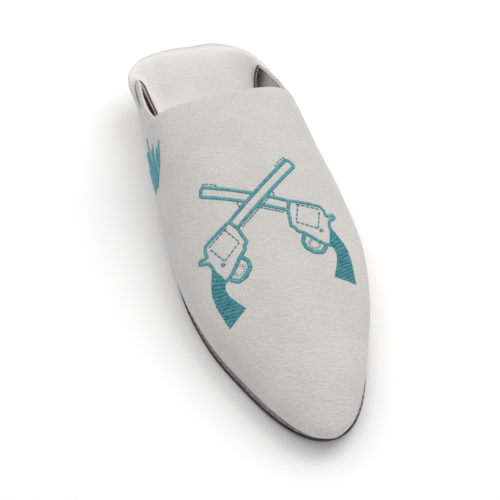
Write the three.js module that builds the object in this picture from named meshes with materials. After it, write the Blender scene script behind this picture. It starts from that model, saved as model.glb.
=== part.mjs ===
// Babouche slipper, the right shoe: a flat two-layer sole, an insole, and a soft leather upper
// whose back is trodden down into a flap. Millimetres, +Z up, the toe towards -Y, the wearer's
// outer (lateral) side on -X.
//
// The upper is one open sheet given a wall. The vamp is an arch of sections along the last.
// The quarters and the folded back are columns that stand on the same feather line, the
// line where the upper meets the sole.

import * as THREE from "three";
import { mergeVertices } from "three/addons/utils/BufferGeometryUtils.js";

// ---------------------------------------------------------------- driving dimensions, mm
const LAST_LENGTH = 256;          // feather line, toe to heel
const GAP = 0.3;                  // air kept between two pieces that touch
const OUTSOLE_THICKNESS = 2.0;
const MIDSOLE_THICKNESS = 3.2;
const INSOLE_THICKNESS = 1.7;
const WALL = 1.8;                 // leather and lining of the upper together
const OUTSOLE_REACH = 1.1;        // outsole edge outside the feather line
const MIDSOLE_REACH = 0.5;        // midsole edge outside the feather line
const SOLE_SHIFT = [-0.8, 0.6];   // the sole sits a little outwards and back under the upper
const WELT = 1.8;                 // extra reach of the sole beside the big toe
const WELT_END = 0.4;             // station at which that extra reach has faded out
const TOE_SPRING = 5.0;           // rise of the sole under the tip of the toe
const SPRING_SHARE = 0.30;        // share of the length over which the toe lifts
const INSOLE_INSET = 2.2;         // insole edge inside the feather line
const FLAP_SAG = 0.07;            // how far the flap hangs below a straight line, by its length

// Shares of the last's length, and of one half of the arch
const THROAT_SHARE = 0.765;       // where the vamp ends
const BEND_SHARE = 0.22;          // of the half arch, below its widest point
const CORNER_SHARE = 0.55;        // of the half arch, up to the corner of the throat

// Shares of a quarter's column, from the feather line to the topline
const COLUMN = { foot: 0, swell: 0.2, crest: 0.44, dip: 0.72, rim: 1 };
const FOLD_BLEND = 0.06;          // share of the way to the heel where the columns take over

// Mesh steps
const VAMP_ROWS = 30;
const COLUMN_STEPS = 15;
const CROWN_STEPS = 8;
const HEEL_STEPS = 60;
const SOLE_STEPS = 72;
const OUTLINE_STEP = 0.004;       // step over which the outline's direction is measured

const TOE_Y = -LAST_LENGTH / 2;
const MIDSOLE_BOTTOM = OUTSOLE_THICKNESS + GAP;
const SOLE_TOP = MIDSOLE_BOTTOM + MIDSOLE_THICKNESS;
const FEATHER_Z = SOLE_TOP + GAP;

// Rows of a table as records with named columns.
const table = (names, rows) => rows.map((row) => (
  Object.fromEntries(names.map((name, column) => [name, row[column]]))
));

// Sections along the last. lateral and medial are the feather line's X on the two sides, the
// bulges are how far each wall swells outside it, level is how far up that happens, crown is
// the height of the ridge above the floor, and fullness squares the arch (0.55: an ellipse).
const SECTIONS = table(
  ["share", "lateral", "medial", "lateralBulge", "medialBulge", "level", "crown", "fullness"],
  [
    [0.00, 9.5, 9.5, 3.2, 3.2, 2.6, 11.0, 0.56],
    [0.03, -5.5, 23.3, 2.2, 1.6, 4.5, 17.5, 0.56],
    [0.08, -15.0, 31.1, 1.2, 1.4, 7.0, 23.5, 0.56],
    [0.16, -25.3, 39.1, 1.3, 2.0, 9.0, 29.0, 0.57],
    [0.27, -36.5, 47.2, 2.0, 3.7, 10.5, 35.0, 0.58],
    [0.39, -42.3, 52.0, 3.4, 4.8, 12.0, 41.5, 0.60],
    [0.52, -42.3, 50.2, 4.2, 5.2, 14.0, 48.0, 0.64],
    [0.64, -40.0, 45.2, 5.4, 5.6, 16.0, 53.0, 0.72],
    [0.76, -37.5, 40.0, 6.4, 6.4, 18.0, 56.8, 0.81],
    [0.87, -35.0, 35.0, 7.0, 6.2, 18.0, 60.0, 0.82],
    [0.95, -30.5, 28.0, 10.5, 7.4, 17.0, 62.0, 0.78],
    [1.00, -3.0, -3.0, 6.0, 6.0, 17.0, 62.5, 0.78],
  ],
);

// Folds of the trodden-down back, from the throat corner (turn 0) to the middle of the
// heel (turn 1). crest is the top of the wall or of the fold, rim is the leather's edge: the
// topline along the side, then the U-turn at the dog-ear, then the flap's own side and front.
const LATERAL_FOLDS = [
  { turn: 0.00, crest: [-43.3, 68.4, 33.1], rim: [-37.8, 68.4, 48.0] },
  { turn: 0.12, crest: [-42.4, 78.0, 34.0], rim: [-39.1, 77.2, 43.3] },
  { turn: 0.25, crest: [-42.0, 90.0, 32.0], rim: [-39.5, 86.5, 38.8] },
  { turn: 0.36, crest: [-42.6, 102.0, 29.5], rim: [-38.8, 97.5, 35.4] },
  { turn: 0.50, crest: [-43.4, 116.0, 28.0], rim: [-37.2, 112.7, 31.5] },
  { turn: 0.57, crest: [-41.8, 121.5, 28.6], rim: [-34.4, 110.5, 28.5] },
  { turn: 0.64, crest: [-38.0, 126.0, 29.5], rim: [-32.7, 105.3, 23.5] },
  { turn: 0.70, crest: [-33.0, 128.5, 30.2], rim: [-30.0, 95.5, 17.0] },
  { turn: 0.78, crest: [-25.0, 130.0, 30.7], rim: [-26.5, 84.0, 11.5] },
  { turn: 0.86, crest: [-16.0, 130.0, 31.0], rim: [-22.0, 77.5, 9.8] },
  { turn: 1.00, crest: [-2.0, 129.0, 31.0], rim: [-2.0, 75.0, 9.6] },
];
const MEDIAL_FOLDS = [
  { turn: 0.00, crest: [45.7, 68.9, 33.1], rim: [40.1, 68.9, 48.0] },
  { turn: 0.12, crest: [43.6, 80.0, 34.5], rim: [39.1, 79.3, 45.0] },
  { turn: 0.25, crest: [41.4, 90.5, 32.5], rim: [37.5, 89.0, 40.5] },
  { turn: 0.38, crest: [39.8, 100.0, 29.5], rim: [36.3, 98.3, 35.5] },
  { turn: 0.50, crest: [37.6, 109.0, 27.5], rim: [33.7, 106.1, 31.5] },
  { turn: 0.57, crest: [35.8, 113.0, 28.0], rim: [32.0, 106.3, 29.0] },
  { turn: 0.64, crest: [33.0, 117.0, 28.8], rim: [29.9, 103.5, 23.5] },
  { turn: 0.70, crest: [29.5, 120.0, 29.5], rim: [28.6, 98.0, 17.5] },
  { turn: 0.78, crest: [23.0, 124.0, 30.2], rim: [25.5, 86.0, 11.5] },
  { turn: 0.86, crest: [14.0, 127.5, 31.0], rim: [21.0, 77.5, 9.8] },
  { turn: 1.00, crest: [-2.0, 129.0, 31.0], rim: [-2.0, 75.0, 9.6] },
];

const FINISHES = {
  outsole: { color: "#3a3034", roughness: 0.8, metalness: 0 },
  midsole: { color: "#968c8c", roughness: 0.75, metalness: 0 },
  insole: { color: "#d8d3ce", roughness: 0.7, metalness: 0 },
  upper: { color: "#dedad5", roughness: 0.55, metalness: 0 },
};

// ---------------------------------------------------------------- curves through a table
const clamp = (value, low, high) => Math.min(Math.max(value, low), high);
const mix = (from, to, weight) => from + (to - from) * weight;

// The smooth curve through values at rising stations; each knot's slope is that of the
// parabola through it and its neighbours.
function through(stations, values, station) {
  const last = stations.length - 1;
  const at = clamp(station, stations[0], stations[last]);
  const step = (k) => stations[k + 1] - stations[k];
  const slope = (k) => (values[k + 1] - values[k]) / step(k);
  const tangent = (k) => {
    if (k === 0) return slope(0);
    if (k === last) return slope(last - 1);
    return (slope(k - 1) * step(k) + slope(k) * step(k - 1)) / (step(k - 1) + step(k));
  };
  let i = 0;
  while (i < last - 1 && at > stations[i + 1]) i += 1;
  const t = (at - stations[i]) / step(i);
  const rise = t * t * (3 - 2 * t);
  const leave = t * (1 - t) * (1 - t) * step(i) * tangent(i);
  const arrive = t * t * (t - 1) * step(i) * tangent(i + 1);
  return mix(values[i], values[i + 1], rise) + leave + arrive;
}

const bezier = (a, b, c, d, t) => {
  const s = 1 - t;
  return a * s * s * s + 3 * b * t * s * s + 3 * c * t * t * s + d * t * t * t;
};

// A station is a share of the length seen round a half circle, so that outlines sampled in
// equal stations come out round at both tips.
const stationOf = (share) => Math.acos(1 - 2 * share) / Math.PI;
const shareOf = (station) => (1 - Math.cos(Math.PI * station)) / 2;
const SECTION_STATIONS = SECTIONS.map((row) => stationOf(row.share));
const section = (name, station) => (
  through(SECTION_STATIONS, SECTIONS.map((row) => row[name]), station)
);
const THROAT_STATION = stationOf(THROAT_SHARE);

// ---------------------------------------------------------------- the last
// Height that the toe spring adds at a place along the shoe.
function spring(y) {
  const along = (y - TOE_Y) / LAST_LENGTH;
  const rise = clamp(1 - along / SPRING_SHARE, 0, 1);
  return TOE_SPRING * rise * rise;
}

// The outline's point at a station; past a tip it runs on along the other side.
function outline(station, side) {
  const past = station < 0 || station > 1;
  const inside = station > 1 ? 2 - station : Math.abs(station);
  const flank = (side === "lateral") === past ? "medial" : "lateral";
  return [section(flank, inside), TOE_Y + LAST_LENGTH * shareOf(inside)];
}

// The feather line's point and the outward direction in plan.
function feather(station, side) {
  const [x, y] = outline(station, side);
  const [aheadX, aheadY] = outline(station + OUTLINE_STEP, side);
  const [behindX, behindY] = outline(station - OUTLINE_STEP, side);
  const length = Math.hypot(aheadX - behindX, aheadY - behindY);
  const hand = side === "lateral" ? -1 : 1;
  return {
    x,
    y,
    outX: (hand * (aheadY - behindY)) / length,
    outY: (-hand * (aheadX - behindX)) / length,
  };
}

// Widest point of the wall over a station: bulge outside the feather line, level above it.
function swell(station, side) {
  const foot = feather(station, side);
  const bulge = section(`${side}Bulge`, station);
  return {
    x: foot.x + foot.outX * bulge,
    y: foot.y + foot.outY * bulge,
    z: FEATHER_Z + spring(foot.y) + section("level", station),
  };
}

// One half of the arch over a station: share 0 at the feather line, 1 on the ridge. Below the
// bend it is a quarter ellipse turning from flat to upright, above it one curve to the ridge.
function arch(station, share, side) {
  const foot = feather(station, side);
  const wide = swell(station, side);
  if (share <= BEND_SHARE) {
    const angle = (share / BEND_SHARE) * Math.PI / 2;
    const reach = section(`${side}Bulge`, station) * Math.sin(angle);
    const height = section("level", station) * (1 - Math.cos(angle));
    return [
      foot.x + foot.outX * reach,
      foot.y + foot.outY * reach,
      FEATHER_Z + spring(foot.y) + height,
    ];
  }
  const across = swell(station, side === "lateral" ? "medial" : "lateral");
  const ridgeX = (wide.x + across.x) / 2;
  const ridgeY = (wide.y + across.y) / 2;
  const crown = section("crown", station) + spring(foot.y);
  const fullness = section("fullness", station);
  const t = (share - BEND_SHARE) / (1 - BEND_SHARE);
  return [
    bezier(wide.x, wide.x, mix(ridgeX, wide.x, fullness), ridgeX, t),
    bezier(wide.y, wide.y, mix(ridgeY, wide.y, fullness), ridgeY, t),
    bezier(wide.z, mix(wide.z, crown, fullness), crown, crown, t),
  ];
}

// The share of the half arch that a share of a column stands for.
function archShare(share) {
  if (share <= COLUMN.swell) return (share / COLUMN.swell) * BEND_SHARE;
  return mix(BEND_SHARE, CORNER_SHARE, (share - COLUMN.swell) / (1 - COLUMN.swell));
}

// ---------------------------------------------------------------- quarters and folded back
const foldPoint = (folds, name, turn) => [0, 1, 2].map((axis) => (
  through(folds.map((row) => row.turn), folds.map((row) => row[name][axis]), turn)
));

// A column of the back: foot, swell, crest, then down the flap through its dip to the rim.
function foldColumn(turn, share, side) {
  const station = mix(THROAT_STATION, 1, turn);
  const folds = side === "lateral" ? LATERAL_FOLDS : MEDIAL_FOLDS;
  const foot = feather(station, side);
  const wide = swell(station, side);
  const crest = foldPoint(folds, "crest", turn);
  const rim = foldPoint(folds, "rim", turn);
  const flap = Math.hypot(rim[0] - crest[0], rim[1] - crest[1], rim[2] - crest[2]);
  const dip = [0, 1, 2].map((axis) => mix(crest[axis], rim[axis], 0.5));
  dip[2] -= flap * FLAP_SAG;
  const knots = [[foot.x, foot.y, FEATHER_Z], [wide.x, wide.y, wide.z], crest, dip, rim];
  const shares = Object.values(COLUMN);
  return [0, 1, 2].map((axis) => through(shares, knots.map((knot) => knot[axis]), share));
}

// A column of the quarter: the arch itself at the throat, the folded back from FOLD_BLEND on.
function quarter(turn, share, side) {
  const wall = arch(mix(THROAT_STATION, 1, turn), archShare(share), side);
  const fold = foldColumn(turn, share, side);
  const weight = THREE.MathUtils.smoothstep(turn, 0, FOLD_BLEND);
  return wall.map((value, axis) => mix(value, fold[axis], weight));
}

// ---------------------------------------------------------------- solids
// A grid of points, rows by columns, as triangles.
function grid(points) {
  const columns = points[0].length;
  const index = [];
  for (let row = 0; row + 1 < points.length; row += 1) {
    for (let column = 0; column + 1 < columns; column += 1) {
      const near = row * columns + column;
      const far = near + columns;
      index.push(near, near + 1, far + 1);
      index.push(near, far + 1, far);
    }
  }
  return { points: points.flat(), index };
}

// One geometry from several grids, with shared points merged and flat triangles dropped.
function sheet(grids) {
  const points = [];
  const index = [];
  for (const patch of grids) {
    const start = points.length;
    points.push(...patch.points);
    index.push(...patch.index.map((corner) => corner + start));
  }
  const loose = new THREE.BufferGeometry();
  loose.setAttribute("position", new THREE.Float32BufferAttribute(points.flat(), 3));
  loose.setIndex(index);
  const merged = mergeVertices(loose, 1e-3);
  const corners = merged.getIndex().array;
  const kept = [];
  for (let i = 0; i < corners.length; i += 3) {
    const [a, b, c] = corners.slice(i, i + 3);
    if (a !== b && b !== c && c !== a) kept.push(a, b, c);
  }
  merged.setIndex(kept);
  return merged;
}

// The closed solid between a sheet and its copy one wall inside it, with every free edge
// closed by a band.
function thicken(surface, wall) {
  surface.computeVertexNormals();
  const outer = surface.getAttribute("position");
  const normal = surface.getAttribute("normal");
  const corners = surface.getIndex().array;
  const positions = Array.from(outer.array);
  for (let i = 0; i < outer.count; i += 1) {
    positions.push(outer.getX(i) - normal.getX(i) * wall);
    positions.push(outer.getY(i) - normal.getY(i) * wall);
    positions.push(outer.getZ(i) - normal.getZ(i) * wall);
  }
  const index = Array.from(corners);
  const edges = new Map();
  for (let i = 0; i < corners.length; i += 3) {
    const [a, b, c] = corners.slice(i, i + 3);
    index.push(a + outer.count, c + outer.count, b + outer.count);
    for (const [from, to] of [[a, b], [b, c], [c, a]]) {
      if (!edges.delete(`${to} ${from}`)) edges.set(`${from} ${to}`, [from, to]);
    }
  }
  for (const [from, to] of edges.values()) {
    index.push(to, from, from + outer.count);
    index.push(to, from + outer.count, to + outer.count);
  }
  const solid = new THREE.BufferGeometry();
  solid.setAttribute("position", new THREE.Float32BufferAttribute(positions, 3));
  solid.setIndex(index);
  solid.computeVertexNormals();
  return solid;
}

// Shares of the half arch at the vamp's mesh lines: the column's steps up to the throat
// corner, then equal steps over the crown.
function archLines() {
  const lines = [];
  for (let i = 0; i <= COLUMN_STEPS; i += 1) lines.push(archShare(i / COLUMN_STEPS));
  for (let i = 1; i <= CROWN_STEPS; i += 1) {
    lines.push(mix(CORNER_SHARE, 1, i / CROWN_STEPS));
  }
  return lines;
}

function vampGrid() {
  const lines = archLines();
  const rows = [];
  for (let i = 0; i <= VAMP_ROWS; i += 1) {
    const station = (THROAT_STATION * i) / VAMP_ROWS;
    const lateral = lines.map((share) => arch(station, share, "lateral"));
    const medial = lines.map((share) => arch(station, share, "medial"));
    rows.push([...lateral, ...medial.reverse().slice(1)]);
  }
  return grid(rows);
}

function backGrid() {
  const rows = [];
  for (let i = 0; i <= HEEL_STEPS; i += 1) {
    const around = (2 * i) / HEEL_STEPS;
    const side = around <= 1 ? "lateral" : "medial";
    const turn = around <= 1 ? around : 2 - around;
    const row = [];
    for (let j = 0; j <= COLUMN_STEPS; j += 1) row.push(quarter(turn, j / COLUMN_STEPS, side));
    rows.push(row);
  }
  return grid(rows);
}

const upperSolid = () => thicken(sheet([vampGrid(), backGrid()]), WALL);

// Extra reach of the sole: a half wave from the tip of the toe along its medial side.
function weltReach(station, side) {
  if (side === "lateral" || station > WELT_END) return 0;
  return WELT * Math.sin(Math.PI * station / WELT_END);
}

// A layer of the sole: the feather line pushed out by reach (in, where it is negative),
// between two heights, lifted by the toe spring. welt is the share of the extra reach.
function layer(reach, bottom, top, shift = [0, 0], welt = 0) {
  const ring = (side, height) => {
    const line = [];
    for (let i = 0; i <= SOLE_STEPS; i += 1) {
      const station = i / SOLE_STEPS;
      const foot = feather(station, side);
      const out = reach + welt * weltReach(station, side);
      line.push([
        foot.x + foot.outX * out + shift[0],
        foot.y + foot.outY * out + shift[1],
        height + spring(foot.y),
      ]);
    }
    return line;
  };
  const rings = [
    ring("lateral", bottom),
    ring("medial", bottom),
    ring("medial", top),
    ring("lateral", top),
    ring("lateral", bottom),
  ];
  const solid = sheet([grid(rings)]);
  solid.computeVertexNormals();
  return solid;
}

// ---------------------------------------------------------------- the shoe
function piece(name, geometry) {
  const mesh = new THREE.Mesh(geometry, new THREE.MeshStandardMaterial(FINISHES[name]));
  mesh.name = name;
  return mesh;
}

const shoe = new THREE.Group();
shoe.add(piece("outsole", layer(OUTSOLE_REACH, 0, OUTSOLE_THICKNESS, SOLE_SHIFT, 1)));
shoe.add(piece("midsole", layer(MIDSOLE_REACH, MIDSOLE_BOTTOM, SOLE_TOP, SOLE_SHIFT, 1)));
shoe.add(piece("insole", layer(-INSOLE_INSET, FEATHER_Z, FEATHER_Z + INSOLE_THICKNESS)));
shoe.add(piece("upper", upperSolid()));

// The finished shoe is centred on the origin in plan.
const box = new THREE.Box3().setFromObject(shoe);
const middle = box.getCenter(new THREE.Vector3());
shoe.position.set(-middle.x, -middle.y, -box.min.z);

export default shoe;
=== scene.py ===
"""Looks of the babouche slipper: a soft leather upper with its lining, a two-layer sole with a
stitched strip, an insole, and embroidery on the vamp.

Tables and shapes are in millimetres in the last's own frame: +Z up, the toe towards -Y, the
wearer's outer (lateral) side on -X. Every mesh is placed in metres in the shared frame.
"""

import logging
import math
from dataclasses import dataclass, field
from enum import Enum

import bpy
import numpy as np
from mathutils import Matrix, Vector


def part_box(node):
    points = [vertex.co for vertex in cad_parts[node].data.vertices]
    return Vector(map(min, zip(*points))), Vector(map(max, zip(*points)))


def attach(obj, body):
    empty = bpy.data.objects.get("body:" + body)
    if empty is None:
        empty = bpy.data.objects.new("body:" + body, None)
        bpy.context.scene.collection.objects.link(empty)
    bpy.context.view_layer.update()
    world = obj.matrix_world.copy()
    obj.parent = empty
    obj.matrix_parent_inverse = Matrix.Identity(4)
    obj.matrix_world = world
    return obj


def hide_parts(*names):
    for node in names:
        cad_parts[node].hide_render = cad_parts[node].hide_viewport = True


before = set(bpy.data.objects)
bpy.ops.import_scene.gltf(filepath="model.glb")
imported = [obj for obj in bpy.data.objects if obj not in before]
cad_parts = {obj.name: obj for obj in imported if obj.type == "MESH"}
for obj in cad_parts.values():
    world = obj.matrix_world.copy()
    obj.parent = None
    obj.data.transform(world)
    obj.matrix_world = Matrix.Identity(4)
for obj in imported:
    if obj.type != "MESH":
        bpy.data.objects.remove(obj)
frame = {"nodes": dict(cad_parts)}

Array = np.ndarray
Colour = tuple[float, float, float]
LOG = logging.getLogger("babouche")
MM = 0.001
BODY = "root"
INSOLE_INSET = 2.2
SOLE_SHIFT = (-0.8, 0.6)


# ---------------------------------------------------------------- curves and small helpers
def through(stations: Array, values: Array, at: Array) -> Array:
    """Smooth curve through values at rising stations.

    Each knot's slope is that of the parabola through it and its neighbours, and a cubic
    Hermite piece joins two knots.

    Args:
        stations: rising positions of the knots.
        values: one value, or one array of values, for each knot.
        at: the positions to read, of any shape.

    Returns:
        An array of the shape of at, followed by the shape of one value.
    """
    stations = np.asarray(stations, float)
    values = np.asarray(values, float)
    at = np.clip(np.asarray(at, float), stations[0], stations[-1])
    tail = (1,) * (values.ndim - 1)
    steps = np.diff(stations).reshape((-1,) + tail)
    slopes = np.diff(values, axis=0) / steps
    inner = (slopes[:-1] * steps[1:] + slopes[1:] * steps[:-1]) / (steps[:-1] + steps[1:])
    tangents = np.concatenate([slopes[:1], inner, slopes[-1:]])
    i = np.clip(np.searchsorted(stations, at, side="right") - 1, 0, len(stations) - 2)
    width = (stations[i + 1] - stations[i]).reshape(at.shape + tail)
    t = (at - stations[i]).reshape(at.shape + tail) / width
    rise = t * t * (3 - 2 * t)
    leave = t * (1 - t) ** 2 * width * tangents[i]
    arrive = t * t * (t - 1) * width * tangents[i + 1]
    return values[i] + (values[i + 1] - values[i]) * rise + leave + arrive


def bezier(a: Array, b: Array, c: Array, d: Array, t: Array) -> Array:
    """Cubic Bezier value at t for the control values a, b, c and d."""
    s = 1 - t
    return a * s**3 + 3 * b * t * s**2 + 3 * c * t**2 * s + d * t**3


def mix(start: Array, end: Array, weight: Array) -> Array:
    """The value a share of the way from start to end."""
    return start + (end - start) * weight


def ease(low: float, high: float, value: Array) -> Array:
    """0 at low and before it, 1 at high and past it, and a smooth S between them."""
    t = np.clip((value - low) / (high - low), 0, 1)
    return t * t * (3 - 2 * t)


def unit(vectors: Array) -> Array:
    """The vectors along the last axis, each brought to length 1."""
    return vectors / np.maximum(np.linalg.norm(vectors, axis=-1, keepdims=True), 1e-9)


def srgb(red: int, green: int, blue: int) -> Colour:
    """A linear colour from 8-bit display values."""
    share = np.array([red, green, blue]) / 255
    linear = np.where(share <= 0.04045, share / 12.92, ((share + 0.055) / 1.055) ** 2.4)
    return tuple(float(value) for value in linear)


# ---------------------------------------------------------------- the last
class Side(Enum):
    """Side of the foot, with the sign of its X."""

    LATERAL = -1
    MEDIAL = 1

    @property
    def other(self) -> "Side":
        """The opposite side."""
        return Side(-self.value)


# Sections along the last, with the columns named here. lateral and medial are the feather
# line's X, the bulges are how far each wall swells outside it, level is how far up that is,
# crown is the height of the ridge, and fullness squares the arch.
SECTION_COLUMNS = (
    "share", "lateral", "medial", "lateral_bulge", "medial_bulge", "level", "crown", "fullness",
)
SECTIONS = np.array([
    [0.00, 9.5, 9.5, 3.2, 3.2, 2.6, 11.0, 0.56],
    [0.03, -5.5, 23.3, 2.2, 1.6, 4.5, 17.5, 0.56],
    [0.08, -15.0, 31.1, 1.2, 1.4, 7.0, 23.5, 0.56],
    [0.16, -25.3, 39.1, 1.3, 2.0, 9.0, 29.0, 0.57],
    [0.27, -36.5, 47.2, 2.0, 3.7, 10.5, 35.0, 0.58],
    [0.39, -42.3, 52.0, 3.4, 4.8, 12.0, 41.5, 0.60],
    [0.52, -42.3, 50.2, 4.2, 5.2, 14.0, 48.0, 0.64],
    [0.64, -40.0, 45.2, 5.4, 5.6, 16.0, 53.0, 0.72],
    [0.76, -37.5, 40.0, 6.4, 6.4, 18.0, 56.8, 0.81],
    [0.87, -35.0, 35.0, 7.0, 6.2, 18.0, 60.0, 0.82],
    [0.95, -30.5, 28.0, 10.5, 7.4, 17.0, 62.0, 0.78],
    [1.00, -3.0, -3.0, 6.0, 6.0, 17.0, 62.5, 0.78],
])

# Folds of the trodden-down back: turn (0 at the throat corner, 1 at the middle of the heel),
# the crest's X, Y, Z, and the rim's X, Y, Z.
FOLDS = {
    Side.LATERAL: np.array([
        [0.00, -43.3, 68.4, 33.1, -37.8, 68.4, 48.0],
        [0.12, -42.4, 78.0, 34.0, -39.1, 77.2, 43.3],
        [0.25, -42.0, 90.0, 32.0, -39.5, 86.5, 38.8],
        [0.36, -42.6, 102.0, 29.5, -38.8, 97.5, 35.4],
        [0.50, -43.4, 116.0, 28.0, -37.2, 112.7, 31.5],
        [0.57, -41.8, 121.5, 28.6, -34.4, 110.5, 28.5],
        [0.64, -38.0, 126.0, 29.5, -32.7, 105.3, 23.5],
        [0.70, -33.0, 128.5, 30.2, -30.0, 95.5, 17.0],
        [0.78, -25.0, 130.0, 30.7, -26.5, 84.0, 11.5],
        [0.86, -16.0, 130.0, 31.0, -22.0, 77.5, 9.8],
        [1.00, -2.0, 129.0, 31.0, -2.0, 75.0, 9.6],
    ]),
    Side.MEDIAL: np.array([
        [0.00, 45.7, 68.9, 33.1, 40.1, 68.9, 48.0],
        [0.12, 43.6, 80.0, 34.5, 39.1, 79.3, 45.0],
        [0.25, 41.4, 90.5, 32.5, 37.5, 89.0, 40.5],
        [0.38, 39.8, 100.0, 29.5, 36.3, 98.3, 35.5],
        [0.50, 37.6, 109.0, 27.5, 33.7, 106.1, 31.5],
        [0.57, 35.8, 113.0, 28.0, 32.0, 106.3, 29.0],
        [0.64, 33.0, 117.0, 28.8, 29.9, 103.5, 23.5],
        [0.70, 29.5, 120.0, 29.5, 28.6, 98.0, 17.5],
        [0.78, 23.0, 124.0, 30.2, 25.5, 86.0, 11.5],
        [0.86, 14.0, 127.5, 31.0, 21.0, 77.5, 9.8],
        [1.00, -2.0, 129.0, 31.0, -2.0, 75.0, 9.6],
    ]),
}


@dataclass(frozen=True)
class Last:
    """The foot form that the whole shoe is drawn on."""

    length: float = 256.0
    feather_z: float = 5.8
    toe_spring: float = 5.0
    spring_share: float = 0.30
    throat_share: float = 0.765
    bend_share: float = 0.22
    corner_share: float = 0.55
    fold_blend: float = 0.06
    flap_sag: float = 0.07
    knots: tuple[float, ...] = (0.0, 0.2, 0.44, 0.72, 1.0)
    outline_step: float = 0.004
    welt: float = 1.8
    welt_end: float = 0.4

    @staticmethod
    def station_of(share: Array) -> Array:
        """The share of the length seen round a half circle."""
        return np.arccos(1 - 2 * np.clip(share, 0, 1)) / np.pi

    @staticmethod
    def share_of(station: Array) -> Array:
        """The share of the length at a station, (1 - cos(pi station)) / 2."""
        return (1 - np.cos(np.pi * np.asarray(station))) / 2

    @property
    def throat(self) -> float:
        """Station at which the vamp ends."""
        return float(self.station_of(self.throat_share))

    def section(self, name: str, station: Array) -> Array:
        """A column of the section table at a station."""
        column = SECTIONS[:, SECTION_COLUMNS.index(name)]
        return through(self.station_of(SECTIONS[:, 0]), column, station)

    def spring(self, y: Array) -> Array:
        """Rise of the toe at Y: a parabola over the front share of the length."""
        along = (y + self.length / 2) / self.length
        return self.toe_spring * np.clip(1 - along / self.spring_share, 0, 1) ** 2

    def outline(self, station: Array, side: Side) -> tuple[Array, Array]:
        """The feather line's X and Y; past a tip it runs on along the other side."""
        past = (station < 0) | (station > 1)
        inside = np.where(station > 1, 2 - station, np.abs(station))
        here = self.section(side.name.lower(), inside)
        there = self.section(side.other.name.lower(), inside)
        y = self.length * (self.share_of(inside) - 0.5)
        return np.where(past, there, here), y

    def feather(self, station: Array, side: Side) -> tuple[Array, Array, Array, Array]:
        """X, Y and the outward direction in plan of the feather line."""
        station = np.asarray(station, float)
        x, y = self.outline(station, side)
        ahead_x, ahead_y = self.outline(station + self.outline_step, side)
        behind_x, behind_y = self.outline(station - self.outline_step, side)
        length = np.hypot(ahead_x - behind_x, ahead_y - behind_y)
        hand = side.value
        return x, y, hand * (ahead_y - behind_y) / length, -hand * (ahead_x - behind_x) / length

    def welt_reach(self, station: Array, side: Side) -> Array:
        """Extra reach of the sole: a half wave from the tip of the toe along its medial side."""
        share = np.clip(station / self.welt_end, 0, 1)
        return self.welt * np.sin(np.pi * share) * float(side is Side.MEDIAL)

    def swell(self, station: Array, side: Side) -> Array:
        """The wall's widest point over a station."""
        x, y, out_x, out_y = self.feather(station, side)
        bulge = self.section(f"{side.name.lower()}_bulge", station)
        z = self.feather_z + self.spring(y) + self.section("level", station)
        return np.stack([x + out_x * bulge, y + out_y * bulge, z], axis=-1)

    def arch(self, station: Array, share: Array, side: Side) -> Array:
        """One half of the arch: share 0 at the feather line, 1 on the ridge.

        Below the bend it is a quarter ellipse turning from flat to upright, above it one
        cubic curve to the ridge.
        """
        station, share = np.broadcast_arrays(np.asarray(station, float), np.asarray(share, float))
        x, y, out_x, out_y = self.feather(station, side)
        wide = self.swell(station, side)
        across = self.swell(station, side.other)
        ridge_x = (wide[..., 0] + across[..., 0]) / 2
        ridge_y = (wide[..., 1] + across[..., 1]) / 2
        crown = self.section("crown", station) + self.spring(y)
        fullness = self.section("fullness", station)
        angle = np.clip(share / self.bend_share, 0, 1) * np.pi / 2
        reach = self.section(f"{side.name.lower()}_bulge", station) * np.sin(angle)
        rise = self.section("level", station) * (1 - np.cos(angle))
        low = np.stack([x + out_x * reach, y + out_y * reach,
                        self.feather_z + self.spring(y) + rise], axis=-1)
        t = np.clip((share - self.bend_share) / (1 - self.bend_share), 0, 1)
        high = np.stack([
            bezier(wide[..., 0], wide[..., 0], mix(ridge_x, wide[..., 0], fullness), ridge_x, t),
            bezier(wide[..., 1], wide[..., 1], mix(ridge_y, wide[..., 1], fullness), ridge_y, t),
            bezier(wide[..., 2], mix(wide[..., 2], crown, fullness), crown, crown, t),
        ], axis=-1)
        return np.where((share <= self.bend_share)[..., None], low, high)

    def arch_share(self, share: Array) -> Array:
        """The share of the half arch that a share of a column stands for."""
        swell = self.knots[1]
        high = mix(self.bend_share, self.corner_share, (share - swell) / (1 - swell))
        return np.where(share <= swell, share / swell * self.bend_share, high)

    def fold(self, turn: Array, share: Array, side: Side) -> Array:
        """Columns of the back: foot, swell, crest, then down the flap to the rim.

        Args:
            turn: places from the throat corner, 0, to the middle of the heel, 1.
            share: places along every column.
            side: the side of the shoe.

        Returns:
            Points of shape (turns, shares, 3).
        """
        station = mix(self.throat, 1.0, turn)
        x, y, _, _ = self.feather(station, side)
        foot = np.stack([x, y, np.full_like(x, self.feather_z)], axis=-1)
        crest = through(FOLDS[side][:, 0], FOLDS[side][:, 1:4], turn)
        rim = through(FOLDS[side][:, 0], FOLDS[side][:, 4:7], turn)
        dip = (crest + rim) / 2
        dip[:, 2] -= np.linalg.norm(rim - crest, axis=-1) * self.flap_sag
        knots = np.stack([foot, self.swell(station, side), crest, dip, rim])
        return through(np.array(self.knots), knots, share).transpose(1, 0, 2)

    def quarter(self, turn: Array, share: Array, side: Side) -> Array:
        """Columns of the quarter: the arch at the throat, the folded back further on."""
        station = mix(self.throat, 1.0, turn)
        wall = self.arch(station[:, None], self.arch_share(share)[None, :], side)
        weight = ease(0, self.fold_blend, turn)[:, None, None]
        return mix(wall, self.fold(turn, share, side), weight)


LAST = Last()


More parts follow.
